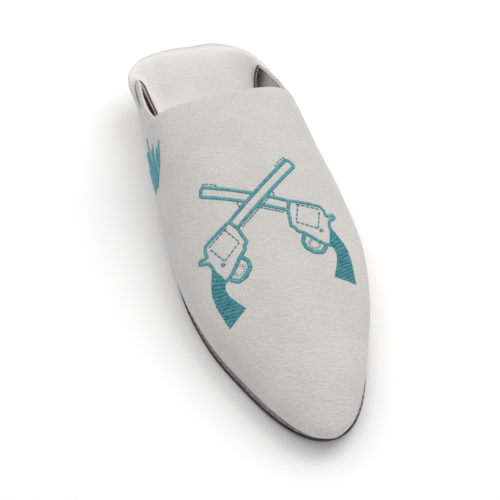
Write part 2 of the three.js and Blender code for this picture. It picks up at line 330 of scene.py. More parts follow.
# ---------------------------------------------------------------- meshes
@dataclass
class Placing:
    """Where the last's own frame lies in the shared frame, from the insole's box."""

    inset: float = INSOLE_INSET
    steps: int = 2000
    shift: Array = field(init=False)

    def __post_init__(self) -> None:
        """Compares the insole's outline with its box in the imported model."""
        stations = np.linspace(0, 1, self.steps)
        line = []
        for side in Side:
            x, y, out_x, out_y = LAST.feather(stations, side)
            line.append(np.stack([x - out_x * self.inset, y - out_y * self.inset], axis=-1))
        own = np.concatenate(line)
        low, high = (np.array(corner)[:2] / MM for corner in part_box("insole"))
        middle = (low + high) / 2 - (own.min(axis=0) + own.max(axis=0)) / 2
        self.shift = np.array([middle[0], middle[1], 0.0])

    def metres(self, points: Array) -> Array:
        """Points of the last's frame, in metres in the shared frame."""
        return (points + self.shift) * MM


PLACING = Placing()


@dataclass
class Sheet:
    """An open or closed surface of quads, in millimetres."""

    points: Array
    quads: Array

    @classmethod
    def merged(cls, grids: list[Array]) -> "Sheet":
        """One sheet from grids of points (rows, columns, 3), with equal points made one.

        A grid's quads turn from a row to the next column and back from the next row, so they
        face the side that column direction x row direction points to.
        """
        points, quads, start = [], [], 0
        for grid in grids:
            rows, columns = grid.shape[:2]
            near = np.arange((rows - 1) * columns).reshape(rows - 1, columns)[:, :-1].ravel()
            quads.append(start + np.stack(
                [near, near + 1, near + columns + 1, near + columns], axis=-1))
            points.append(grid.reshape(-1, 3))
            start += rows * columns
        loose = np.concatenate(points)
        _, first, inverse = np.unique(
            np.round(loose, 3), axis=0, return_index=True, return_inverse=True)
        return cls(loose[first], inverse.reshape(-1)[np.concatenate(quads)])

    def normals(self) -> Array:
        """Unit normals at the points, from the quads' diagonals, weighted by area."""
        corner = self.points[self.quads]
        flat = np.cross(corner[:, 2] - corner[:, 0], corner[:, 3] - corner[:, 1])
        total = np.zeros_like(self.points)
        for axis in range(3):
            total[:, axis] = np.bincount(
                self.quads.ravel(), np.repeat(flat[:, axis], 4), minlength=len(self.points))
        return unit(total)

    def free_edges(self) -> Array:
        """Directed edges that belong to one quad only, of shape (edges, 2)."""
        edges = np.concatenate([self.quads[:, [i, (i + 1) % 4]] for i in range(4)])
        edges = edges[edges[:, 0] != edges[:, 1]]
        key = edges[:, 0] * len(self.points) + edges[:, 1]
        back = edges[:, 1] * len(self.points) + edges[:, 0]
        return edges[~np.isin(key, back)]

    def shell(self, depth: float, wall: float, roll: float,
              steps: int = 5) -> tuple["Sheet", Array]:
        """The closed wall between two copies of the sheet, with rounded free edges.

        The outer copy lies depth below the sheet and the inner one a further wall. A free
        edge is closed by a half ellipse from one copy to the other, reaching out by roll in
        the direction edge x normal.

        Args:
            depth: distance of the outer copy below the sheet.
            wall: thickness.
            roll: how far the rounded edge reaches out.
            steps: points on the half ellipse.

        Returns:
            The closed sheet, and a value for each point that is 1 on the rounded edge.
        """
        normals = self.normals()
        outer = self.points - normals * depth
        inner = outer - normals * wall
        edges = self.free_edges()
        rim, local = np.unique(edges, return_inverse=True)
        local = local.reshape(edges.shape)
        run = np.zeros((len(rim), 3))
        way = unit(self.points[edges[:, 1]] - self.points[edges[:, 0]])
        np.add.at(run, local[:, 0], way)
        np.add.at(run, local[:, 1], way)
        reach = unit(np.cross(unit(run), normals[rim]))
        angle = np.linspace(0, np.pi, steps + 2)[1:-1, None, None]
        rounded = (outer[rim] - normals[rim] * wall * (1 - np.cos(angle)) / 2
                   + reach * roll * np.sin(angle))
        count = len(self.points)
        fresh = 2 * count + np.arange(steps * len(rim)).reshape(steps, -1)
        rows = np.concatenate([rim[None], fresh, count + rim[None]])
        bands = [np.stack([rows[i][local[:, 1]], rows[i][local[:, 0]],
                           rows[i + 1][local[:, 0]], rows[i + 1][local[:, 1]]], axis=-1)
                 for i in range(steps + 1)]
        points = np.concatenate([outer, inner, rounded.reshape(-1, 3)])
        quads = np.concatenate([self.quads, self.quads[:, ::-1] + count, *bands])
        edge = np.zeros(len(points))
        edge[2 * count:] = 1
        return Sheet(points, quads), edge


def make_piece(name: str, points: Array, faces: list[Array], finish: bpy.types.Material,
               values: dict[str, Array] | None = None, uv: Array | None = None) -> bpy.types.Object:
    """A smooth-shaded object that rides on the shoe.

    Args:
        name: the piece's name.
        points: points in millimetres in the last's frame.
        faces: arrays of point numbers, each (faces, corners).
        finish: the material.
        values: one number for each point, by attribute name.
        uv: two numbers for each point, made its UV map.

    Returns:
        The object, at the origin, with its place in its mesh.
    """
    mesh = bpy.data.meshes.new(name)
    mesh.vertices.add(len(points))
    mesh.vertices.foreach_set("co", PLACING.metres(points).astype(np.float32).ravel())
    corners = np.concatenate([face.ravel() for face in faces]).astype(np.int32)
    sizes = np.concatenate([np.full(len(face), face.shape[1]) for face in faces])
    mesh.loops.add(len(corners))
    mesh.loops.foreach_set("vertex_index", corners)
    mesh.polygons.add(len(sizes))
    starts = np.concatenate([[0], np.cumsum(sizes)[:-1]]).astype(np.int32)
    mesh.polygons.foreach_set("loop_start", starts)
    mesh.polygons.foreach_set("use_smooth", np.ones(len(sizes), bool))
    for key, value in (values or {}).items():
        layer = mesh.attributes.new(key, "FLOAT", "POINT")
        layer.data.foreach_set("value", value.astype(np.float32))
    if uv is not None:
        layer = mesh.uv_layers.new(name="UVMap")
        layer.data.foreach_set("uv", uv[corners].astype(np.float32).ravel())
    mesh.update(calc_edges=True)
    mesh.validate()
    mesh.materials.append(finish)
    piece = bpy.data.objects.new(name, mesh)
    bpy.context.scene.collection.objects.link(piece)
    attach(piece, BODY)
    LOG.info("%s: %d points, %d faces", name, len(points), len(sizes))
    return piece


# ---------------------------------------------------------------- materials
class NodeBench:
    """Adds and joins the nodes of one tree."""

    def __init__(self, tree: bpy.types.NodeTree) -> None:
        """Starts on a tree."""
        self.tree = tree

    def add(self, kind: str, settings: dict | None = None,
            inputs: dict | None = None) -> bpy.types.Node:
        """A node of a kind, with its settings and its inputs.

        Args:
            kind: the node's type name.
            settings: properties of the node.
            inputs: by socket name or number, a constant or the socket to join from.

        Returns:
            The node.
        """
        node = self.tree.nodes.new(kind)
        for key, value in (settings or {}).items():
            setattr(node, key, value)
        for key, value in (inputs or {}).items():
            if isinstance(value, bpy.types.NodeSocket):
                self.tree.links.new(value, node.inputs[key])
            else:
                node.inputs[key].default_value = value
        return node

    def maths(self, operation: str, *values: object) -> bpy.types.NodeSocket:
        """The result of a Math node on up to three sockets or constants."""
        node = self.add("ShaderNodeMath", {"operation": operation}, dict(enumerate(values)))
        return node.outputs[0]

    def ramp(self, factor: bpy.types.NodeSocket, low: float, high: float) -> bpy.types.NodeSocket:
        """The factor stretched so that low becomes 0 and high becomes 1, clamped."""
        node = self.add("ShaderNodeMapRange", {"clamp": True, "interpolation_type": "SMOOTHSTEP"},
                        {"Value": factor, "From Min": low, "From Max": high})
        return node.outputs["Result"]

    def blend(self, factor: object, first: object, second: object) -> bpy.types.NodeSocket:
        """The colour that lies a factor of the way from first to second."""
        node = self.add("ShaderNodeMix", {"data_type": "RGBA"})
        for key, value in ((0, factor), (6, first), (7, second)):
            if isinstance(value, bpy.types.NodeSocket):
                self.tree.links.new(value, node.inputs[key])
            elif isinstance(value, tuple):
                node.inputs[key].default_value = (*value, 1.0)
            else:
                node.inputs[key].default_value = value
        return node.outputs[2]


def new_group(name: str, inputs: dict[str, float], outputs: dict[str, str]) -> tuple[
        bpy.types.NodeTree, NodeBench, bpy.types.Node, bpy.types.Node]:
    """An empty shader node group.

    Args:
        name: the group's name.
        inputs: float inputs with their defaults.
        outputs: outputs with their socket types.

    Returns:
        The group, its bench, its input node and its output node.
    """
    group = bpy.data.node_groups.new(name, "ShaderNodeTree")
    for key, value in inputs.items():
        socket = group.interface.new_socket(key, in_out="INPUT", socket_type="NodeSocketFloat")
        socket.default_value = value
    for key, kind in outputs.items():
        group.interface.new_socket(key, in_out="OUTPUT", socket_type=kind)
    bench = NodeBench(group)
    return group, bench, bench.add("NodeGroupInput"), bench.add("NodeGroupOutput")


def grain_group() -> bpy.types.NodeTree:
    """Leather grain: rounded pebbles, fine wavy wrinkles across the foot, and soft mottling.

    Pebbles are a smooth Voronoi distance. Wrinkles are noise squeezed along the foot, so that
    its features lie across it, bent by a second noise. Mottle is slow noise.
    """
    group, bench, given, result = new_group(
        "leather_grain",
        {"Pebble Scale": 1200.0, "Pebble Weight": 0.5, "Wrinkle Scale": 520.0,
         "Wrinkle Weight": 0.6, "Mottle Scale": 40.0},
        {"Height": "NodeSocketFloat", "Mottle": "NodeSocketFloat", "Pores": "NodeSocketFloat"},
    )
    place = bench.add("ShaderNodeTexCoord").outputs["Object"]
    bend = bench.add("ShaderNodeTexNoise", inputs={"Vector": place, "Scale": 90.0, "Detail": 2.0})
    shifted = bench.add("ShaderNodeVectorMath", {"operation": "MULTIPLY_ADD"},
                        {0: bend.outputs["Color"], 1: (0.0016, 0.0024, 0.0016), 2: place})
    squeezed = bench.add("ShaderNodeMapping",
                         inputs={"Vector": shifted.outputs[0], "Scale": (0.42, 1.0, 0.75)})
    wrinkles = bench.add("ShaderNodeTexNoise", inputs={
        "Vector": squeezed.outputs[0], "Scale": given.outputs["Wrinkle Scale"],
        "Detail": 2.0, "Roughness": 0.55})
    pebbles = bench.add("ShaderNodeTexVoronoi", {"feature": "SMOOTH_F1"}, {
        "Vector": shifted.outputs[0], "Scale": given.outputs["Pebble Scale"],
        "Smoothness": 0.6, "Randomness": 0.95})
    slow = bench.add("ShaderNodeTexNoise", inputs={
        "Vector": place, "Scale": given.outputs["Mottle Scale"], "Detail": 3.0, "Roughness": 0.6})
    mound = bench.maths("SUBTRACT", 1.0, pebbles.outputs["Distance"])
    crease = bench.ramp(wrinkles.outputs["Fac"], 0.33, 0.68)
    part = bench.maths("MULTIPLY", crease, given.outputs["Wrinkle Weight"])
    height = bench.maths("MULTIPLY_ADD", mound, given.outputs["Pebble Weight"], part)
    bench.tree.links.new(height, result.inputs["Height"])
    bench.tree.links.new(bench.ramp(slow.outputs["Fac"], 0.3, 0.7), result.inputs["Mottle"])
    bench.tree.links.new(bench.ramp(pebbles.outputs["Distance"], 0.35, 0.8), result.inputs["Pores"])
    return group


def nap_group() -> bpy.types.NodeTree:
    """Suede nap: two sizes of noise for short brushed fibres, and patches lying either way."""
    group, bench, given, result = new_group(
        "suede_nap", {"Fibre Scale": 2600.0, "Patch Scale": 260.0},
        {"Height": "NodeSocketFloat", "Patch": "NodeSocketFloat"},
    )
    place = bench.add("ShaderNodeTexCoord").outputs["Object"]
    fibres = bench.add("ShaderNodeTexNoise", inputs={
        "Vector": place, "Scale": given.outputs["Fibre Scale"], "Detail": 3.0, "Roughness": 0.7})
    patch = bench.add("ShaderNodeTexNoise", inputs={
        "Vector": place, "Scale": given.outputs["Patch Scale"], "Detail": 4.0, "Roughness": 0.65})
    height = bench.maths("MULTIPLY_ADD", fibres.outputs["Fac"], 0.7, patch.outputs["Fac"])
    bench.tree.links.new(height, result.inputs["Height"])
    bench.tree.links.new(bench.ramp(patch.outputs["Fac"], 0.35, 0.65), result.inputs["Patch"])
    return group


@dataclass(frozen=True)
class LeatherFinish:
    """Soft pale nappa leather, with a cut edge."""

    name: str = "leather"
    light: Colour = srgb(206, 202, 198)
    shade: Colour = srgb(191, 186, 182)
    # painted light: a lighter colour laid on the folded back where it faces up and forward
    smooth_flap_painted_light: Colour = srgb(238, 235, 231)
    cut: Colour = srgb(214, 204, 192)
    flap_cut: Colour = srgb(104, 93, 95)
    # the colour of the painted shade at the bottoms of creases
    crease_shade: Colour = srgb(84, 75, 76)
    roughness: float = 0.52
    relief: float = 0.00034
    pebble: float = 1250.0
    pebble_weight: float = 0.45
    wrinkle: float = 780.0
    wrinkle_weight: float = 1.1
    vamp_share: float = 0.75
    flap_smooth: float = 0.7
    mottle: float = 0.5
    flap_mottle: float = 0.15
    pores: float = 0.25
    flap_pores: float = 0.05

    def material(self, grain: bpy.types.NodeTree) -> bpy.types.Material:
        """The material, with the grain group for its colour, roughness and bump."""
        finish, bench, shader = new_material(self.name)
        edge, crease, flap_edge, vamp, smooth_flap_painted_light = (
            bench.add("ShaderNodeAttribute", {"attribute_name": name}).outputs["Fac"]
            for name in ("edge", "crease", "flap_edge", "vamp", "smooth_flap_painted_light"))
        on_vamp = self.wrinkle_weight * self.vamp_share
        weight = bench.maths("MULTIPLY_ADD", vamp, on_vamp, self.wrinkle_weight - on_vamp)
        smoothed = -self.pebble_weight * self.flap_smooth
        pebble_weight = bench.maths("MULTIPLY_ADD", smooth_flap_painted_light, smoothed, self.pebble_weight)
        group = bench.add("ShaderNodeGroup", {"node_tree": grain}, {
            "Pebble Scale": self.pebble, "Pebble Weight": pebble_weight,
            "Wrinkle Scale": self.wrinkle, "Wrinkle Weight": weight})
        # painted light: the folded back is blended towards its lighter colour by its mask
        main = bench.blend(smooth_flap_painted_light, self.light, self.smooth_flap_painted_light)
        patchy = bench.maths("MULTIPLY_ADD", smooth_flap_painted_light, self.flap_mottle - self.mottle, self.mottle)
        low = bench.maths("SUBTRACT", 1.0, group.outputs["Mottle"])
        shaded = bench.maths("MULTIPLY", low, patchy)
        field_colour = bench.blend(shaded, main, self.shade)
        open_pores = bench.maths("MULTIPLY_ADD", smooth_flap_painted_light, self.flap_pores - self.pores, self.pores)
        pores = bench.maths("MULTIPLY", group.outputs["Pores"], open_pores)
        pored = bench.blend(pores, field_colour, self.shade)
        cut = bench.blend(flap_edge, self.cut, self.flap_cut)
        # painted shade darkens the bottoms of creases
        shade_in_creases = bench.blend(crease, pored, self.crease_shade)
        colour = bench.blend(bench.ramp(edge, 0.3, 0.9), shade_in_creases, cut)
        rough = bench.maths("MULTIPLY_ADD", group.outputs["Mottle"], 0.08, self.roughness - 0.04)
        bump = bench.add("ShaderNodeBump", inputs={
            "Strength": 0.55, "Distance": self.relief, "Height": group.outputs["Height"]})
        bench.tree.links.new(colour, shader.inputs["Base Color"])
        bench.tree.links.new(rough, shader.inputs["Roughness"])
        bench.tree.links.new(bump.outputs["Normal"], shader.inputs["Normal"])
        shader.inputs["Specular IOR Level"].default_value = 0.38
        return finish


@dataclass(frozen=True)
class SuedeFinish:
    """Napped leather or brushed edge in two shades."""

    name: str
    light: Colour
    shade: Colour
    roughness: float = 0.9
    relief: float = 0.0003
    fibre: float = 2600.0
    patch: float = 260.0
    sheen: float = 0.0

    def material(self, nap: bpy.types.NodeTree) -> bpy.types.Material:
        """The material, with the nap group for its colour and bump."""
        finish, bench, shader = new_material(self.name)
        group = bench.add("ShaderNodeGroup", {"node_tree": nap},
                          {"Fibre Scale": self.fibre, "Patch Scale": self.patch})
        colour = bench.blend(group.outputs["Patch"], self.shade, self.light)
        rough = bench.maths("MULTIPLY_ADD", group.outputs["Patch"], -0.08, self.roughness)
        bump = bench.add("ShaderNodeBump", inputs={
            "Strength": 0.7, "Distance": self.relief, "Height": group.outputs["Height"]})
        bench.tree.links.new(colour, shader.inputs["Base Color"])
        bench.tree.links.new(rough, shader.inputs["Roughness"])
        bench.tree.links.new(bump.outputs["Normal"], shader.inputs["Normal"])
        shader.inputs["Specular IOR Level"].default_value = 0.2
        shader.inputs["Sheen Weight"].default_value = self.sheen
        return finish


@dataclass(frozen=True)
class ThreadFinish:
    """Twisted embroidery or sewing thread in three tones."""

    name: str
    light: Colour
    middle: Colour
    dark: Colour
    roughness: float = 0.42
    twist: float = 2.2

    def material(self) -> bpy.types.Material:
        """The material: each thread has its own tone, and fine plies wind round it.

        The UV map runs along a thread in millimetres and once round it, so a wave on their
        sum winds round the thread.
        """
        finish, bench, shader = new_material(self.name)
        tone = bench.add("ShaderNodeAttribute", {"attribute_name": "tone"}).outputs["Fac"]
        place = bench.add("ShaderNodeUVMap", {"uv_map": "UVMap"}).outputs["UV"]
        parts = bench.add("ShaderNodeSeparateXYZ", inputs={"Vector": place})
        turns = bench.maths("MULTIPLY_ADD", parts.outputs["X"], self.twist, parts.outputs["Y"])
        wave = bench.maths("SINE", bench.maths("MULTIPLY", turns, 2 * math.pi))
        first = bench.blend(bench.ramp(tone, 0.0, 0.5), self.dark, self.middle)
        second = bench.blend(bench.ramp(tone, 0.5, 1.0), first, self.light)
        # painted shade darkens the grooves between the plies
        ply_groove_shade = bench.blend(bench.ramp(wave, -1.0, 0.2), self.dark, second)
        colour = bench.blend(0.75, ply_groove_shade, second)
        bump = bench.add("ShaderNodeBump", inputs={
            "Strength": 0.5, "Distance": 0.00008, "Height": wave})
        rough = bench.maths("MULTIPLY_ADD", tone, -0.1, self.roughness + 0.05)
        bench.tree.links.new(colour, shader.inputs["Base Color"])
        bench.tree.links.new(rough, shader.inputs["Roughness"])
        bench.tree.links.new(bump.outputs["Normal"], shader.inputs["Normal"])
        shader.inputs["Specular IOR Level"].default_value = 0.5
        return finish


def new_material(name: str) -> tuple[bpy.types.Material, NodeBench, bpy.types.Node]:
    """A material with a Principled shader, its bench, and the shader."""
    finish = bpy.data.materials.new(name)
    finish.use_nodes = True
    finish.node_tree.nodes.clear()
    bench = NodeBench(finish.node_tree)
    shader = bench.add("ShaderNodeBsdfPrincipled")
    bench.add("ShaderNodeOutputMaterial", inputs={"Surface": shader.outputs["BSDF"]})
    return finish, bench, shader


# ---------------------------------------------------------------- the upper
@dataclass(frozen=True)
class Crease:
    """A soft trough along a path on the leather, with a low ridge on both sides.

    depth is how deep it is at its middle, and a negative depth makes it a ridge. It fades
    out over the ends of its path. grime is how much painted shade darkens its bottom, from 0 to 1.
    """

    path: tuple[tuple[float, float, float], ...]
    depth: float
    width: float
    lip: float = 0.25
    crease_shade: float = 0.0
    samples: int = 40

    def profile(self, points: Array) -> tuple[Array, Array, Array]:
        """Which points lie near, their distance in widths, and how strong the crease is there."""
        stations = np.linspace(0, 1, len(self.path))
        run = np.linspace(0, 1, self.samples)
        line = through(stations, np.array(self.path), run)
        near = np.all((points > line.min(axis=0) - 4 * self.width)
                      & (points < line.max(axis=0) + 4 * self.width), axis=-1)
        apart = np.linalg.norm(points[near][:, None] - line[None], axis=-1)
        nearest = apart.argmin(axis=1)
        distance = apart[np.arange(len(apart)), nearest] / self.width
        fade = np.sin(np.pi * (run[nearest] * 0.96 + 0.02)) ** 0.6
        return near, distance, fade

    def offset(self, points: Array) -> Array:
        """How far points move along their normals.

        The depth falls off as a Gaussian of the distance to the path over the width, and the
        ridges are a wider Gaussian with the lip's share of the depth.
        """
        near, distance, fade = self.profile(points)
        moved = np.zeros(len(points))
        moved[near] = -self.depth * fade * (
            np.exp(-distance**2) - self.lip * np.exp(-(distance / 2.0) ** 2))
        return moved

    def mark(self, points: Array) -> Array:
        """How dark the painted shade is at the points: a narrower Gaussian of the distance."""
        near, distance, fade = self.profile(points)
        dark = np.zeros(len(points))
        dark[near] = self.crease_shade * fade * np.exp(-(distance / 0.85) ** 2)
        return dark


# Two broad folds of the flap, the ring and crumples of the lateral dog-ear, wrinkles of the
# vamp near the throat, and two faint creases of the medial wall.
CREASES = (
    Crease(((14.7, 128.6, 30.4), (12.5, 125.0, 29.6), (9.5, 118.0, 26.0), (5.0, 107.0, 19.5),
            (0.0, 92.0, 13.0)), -1.3, 7.5, lip=0.3),
    Crease(((-33.0, 129.0, 29.6), (-31.0, 122.0, 27.5), (-29.0, 112.0, 22.5), (-26.0, 98.0, 16.0)),
           -0.6, 5.0, lip=0.4),
    # the dog-ear's ring and crumples, with painted shade at their bottoms
    Crease(((-36.5, 113.5, 31.6), (-38.6, 111.8, 31.4), (-40.2, 107.0, 31.0), (-40.7, 100.5, 31.6),
            (-40.8, 94.0, 33.2), (-41.2, 88.0, 33.8)), 1.5, 1.0, lip=0.8, crease_shade=1.0),
    Crease(((-38.6, 108.5, 33.0), (-39.6, 103.5, 33.4), (-39.9, 99.0, 33.6)),
           0.9, 0.75, lip=0.9, crease_shade=0.5),
    Crease(((-39.2, 100.5, 35.0), (-40.2, 96.0, 34.4), (-41.0, 92.5, 32.6)),
           0.9, 0.75, lip=0.9, crease_shade=0.45),
    Crease(((-39.6, 93.0, 37.0), (-40.6, 90.0, 35.4), (-41.6, 87.5, 32.4)),
           0.8, 0.85, lip=0.9, crease_shade=0.3),
    Crease(((-39.3, 88.0, 39.5), (-40.4, 84.5, 37.4), (-41.8, 82.5, 33.4)), 0.6, 1.0, lip=0.8),
    Crease(((-27.6, 55.6, 52.3), (-23.3, 54.6, 53.2), (-19.4, 52.4, 53.3)), 0.42, 1.0, lip=0.7),
    Crease(((-25.6, 51.5, 52.6), (-21.5, 50.6, 53.1), (-17.6, 47.6, 53.0)), 0.42, 1.0, lip=0.7),
    Crease(((-27.8, 60.4, 52.8), (-24.9, 59.2, 53.4), (-21.5, 57.6, 53.7)), 0.34, 1.0, lip=0.7),
    Crease(((-22.0, 46.6, 52.2), (-18.4, 45.2, 52.7), (-14.8, 42.2, 52.6)), 0.22, 1.2, lip=0.6),
    Crease(((-30.4, 50.0, 50.9), (-27.6, 49.6, 51.8), (-24.8, 47.8, 52.0)), 0.2, 1.2, lip=0.6),
    Crease(((38.4, 106.0, 31.5), (38.9, 99.0, 33.6), (39.4, 93.0, 35.6)), 0.3, 1.2, lip=0.6),
    Crease(((40.8, 96.0, 31.0), (41.6, 90.0, 33.0), (42.4, 84.0, 35.0)), 0.25, 1.3, lip=0.6),
)


def crease_offset(points: Array) -> Array:
    """The sum of all creases at the points, in millimetres along the normals."""
    return sum((crease.offset(points) for crease in CREASES), np.zeros(len(points)))


def crease_painted_shade(points: Array) -> Array:
    """The darkest painted shade of all creases at the points."""
    return np.max([crease.mark(points) for crease in CREASES], axis=0)


@dataclass
class Upper:
    """The leather upper and its lining, on the same wall as the solid upper."""

    vamp_rows: int = 168
    column_steps: int = 50
    crown_steps: int = 28
    heel_steps: int = 200
    leather: float = 1.15
    seam: float = 0.05
    lining: float = 0.6
    leather_roll: float = 0.45
    lining_roll: float = 0.1
    soft_passes: int = 12
    dark_edge_z: tuple[float, float] = (33.2, 31.0)
    dark_edge_y: tuple[float, float] = (70.0, 74.0)
    vamp_y: tuple[float, float] = (76.0, 60.0)
    # the folded back's mask: smoother grain, and painted light that is strongest where it faces up
    # and forward, halved on its high crest
    flap_y: tuple[float, float] = (64.0, 80.0)
    flap_upward: tuple[float, float] = (0.15, 0.8)
    roll_ahead: tuple[float, float] = (0.2, -0.25)
    roll_share: float = 0.35
    crest_z: tuple[float, float] = (35.5, 31.0)
    crest_share: float = 0.5

    def softened(self, columns: Array, turns: Array, coarse: int) -> Array:
        """Columns of the back with their folds rounded, as a wall of leather bends.

        Each pass gives a point half its own place and a quarter of each neighbour's along the
        column. The ends stay, and so does the column at the throat.
        """
        soft = columns.copy()
        for _ in range(self.soft_passes // coarse**2):
            soft[:, 1:-1] = (soft[:, :-2] + 2 * soft[:, 1:-1] + soft[:, 2:]) / 4
        return mix(columns, soft, ease(0, 0.2, turns)[:, None, None])

    def sheet(self, coarse: int = 1) -> tuple[Sheet, Array]:
        """The sheet that the wall hangs below: vamp and folded back, joined at the throat.

        Args:
            coarse: by how much every number of steps is divided.

        Returns:
            The creased sheet, and how dark the painted shade of its creases is at its points.
        """
        column = np.linspace(0, 1, self.column_steps // coarse + 1)
        crown = np.linspace(LAST.corner_share, 1, self.crown_steps // coarse + 1)[1:]
        lines = np.concatenate([LAST.arch_share(column), crown])
        stations = np.linspace(0, LAST.throat, self.vamp_rows // coarse + 1)[:, None]
        lateral = LAST.arch(stations, lines[None], Side.LATERAL)
        medial = LAST.arch(stations, lines[None], Side.MEDIAL)
        vamp = np.concatenate([lateral, medial[:, ::-1][:, 1:]], axis=1)
        turns = np.linspace(0, 1, self.heel_steps // coarse // 2 + 1)
        back = np.concatenate([
            self.softened(LAST.quarter(turns, column, Side.LATERAL), turns, coarse),
            self.softened(LAST.quarter(turns, column, Side.MEDIAL), turns, coarse)[-2::-1],
        ])
        sheet = Sheet.merged([vamp, back])
        marks = crease_painted_shade(sheet.points)
        sheet.points = sheet.points + sheet.normals() * crease_offset(sheet.points)[:, None]
        return sheet, marks

    def build(self, leather: bpy.types.Material, suede: bpy.types.Material) -> None:
        """Makes the leather and the lining."""
        sheet, marks = self.sheet()
        shell, edge = sheet.shell(0.0, self.leather, self.leather_roll)
        _, ahead, upward = shell.normals().T
        _, y, z = shell.points.T
        values = {
            "edge": edge,
            # how dark the painted shade of the creases is
            "crease": np.pad(marks, (0, len(edge) - len(marks))),
            "flap_edge": edge * ease(*self.dark_edge_z, z) * ease(*self.dark_edge_y, y),
            "vamp": ease(*self.vamp_y, y),
            # smooth grain and painted light on the folded back, by which way it faces
            "smooth_flap_painted_light": (ease(*self.flap_upward, upward) * ease(*self.flap_y, y)
                     * mix(self.roll_share, 1.0, ease(*self.roll_ahead, ahead))
                     * mix(self.crest_share, 1.0, ease(*self.crest_z, z))),
        }
        piece = make_piece("upper_leather", shell.points, [shell.quads], leather, values)
        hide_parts("upper")
        depth = self.leather + self.seam
        shell, edge = self.sheet(coarse=2)[0].shell(depth, self.lining, self.lining_roll, steps=3)
        piece = make_piece("upper_lining", shell.points, [shell.quads], suede, {"edge": edge})
        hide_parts("upper")


# ---------------------------------------------------------------- the sole
@dataclass
class Sole:
    """Outsole, the strip round it, and the insole: profiles carried round the outline."""

    stations: int = 260
    shares: tuple[float, ...] = (0.0, 0.12, 0.3, 0.55, 0.8, 1.0)

    def ring(self, reach: float, height: float, share: float, shift: tuple[float, float],
             welt: float) -> Array:
        """One line round the foot: out by reach, at a height, a share of the way to the spine.

        The spine is midway between the two sides at the same station. welt is the share of the
        extra reach beside the big toe.
        """
        stations = np.linspace(0, 1, self.stations + 1)
        middle = sum(LAST.feather(stations, side)[0] for side in Side) / 2
        halves = []
        for side in (Side.MEDIAL, Side.LATERAL):
            x, y, out_x, out_y = LAST.feather(stations, side)
            out = reach + welt * LAST.welt_reach(stations, side)
            edge_x, edge_y = x + out_x * out, y + out_y * out
            line = np.stack([
                mix(edge_x, middle, share) + shift[0],
                mix(edge_y, y, share) + shift[1],
                height + LAST.spring(y),
            ], axis=-1)
            halves.append(line)
        return np.concatenate([halves[0], halves[1][-2::-1]])

    def layer(self, profile: list[tuple[float, float]], shift: tuple[float, float],
              welt: float) -> Sheet:
        """A closed layer whose edge follows a profile of (reach, height), from below to above."""
        rows = [self.ring(*profile[0], share, shift, welt) for share in self.shares[:0:-1]]
        rows += [self.ring(reach, height, 0.0, shift, welt) for reach, height in profile]
        rows += [self.ring(*profile[-1], share, shift, welt) for share in self.shares[1:]]
        return Sheet.merged([np.stack(rows)])

    @staticmethod
    def edge_profile(reach: float, low: float, high: float, soft: float, bulge: float) -> list[
            tuple[float, float]]:
        """An edge between two heights: quarter-circle corners and a flank swollen by bulge."""
        turn = np.linspace(0, np.pi / 2, 5)
        lower = [(reach - soft + soft * math.sin(a), low + soft - soft * math.cos(a)) for a in turn]
        flank = np.linspace(0, 1, 7)[1:-1]
        middle = [(reach + bulge * math.sin(math.pi * t), mix(low + soft, high - soft, t))
                  for t in flank]
        upper = [(reach - soft + soft * math.cos(a), high - soft + soft * math.sin(a))
                 for a in turn]
        return lower + middle + upper

    def build(self, outsole: bpy.types.Material, strip: bpy.types.Material,
              sock: bpy.types.Material) -> None:
        """Makes the three layers."""
        parts = (
            ("outsole", outsole, self.edge_profile(1.1, 0.0, 2.0, 0.35, 0.1), SOLE_SHIFT, 1.0),
            ("midsole", strip, self.edge_profile(0.5, 2.3, 5.5, 0.4, 0.35), SOLE_SHIFT, 1.0),
            ("insole", sock, self.edge_profile(-INSOLE_INSET, 5.8, 7.5, 0.7, 0.0), (0.0, 0.0), 0.0),
        )
        for name, finish, profile, shift, welt in parts:
            solid = self.layer(profile, shift, welt)
            piece = make_piece(f"{name}_layer", solid.points, [solid.quads], finish)
            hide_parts(name)


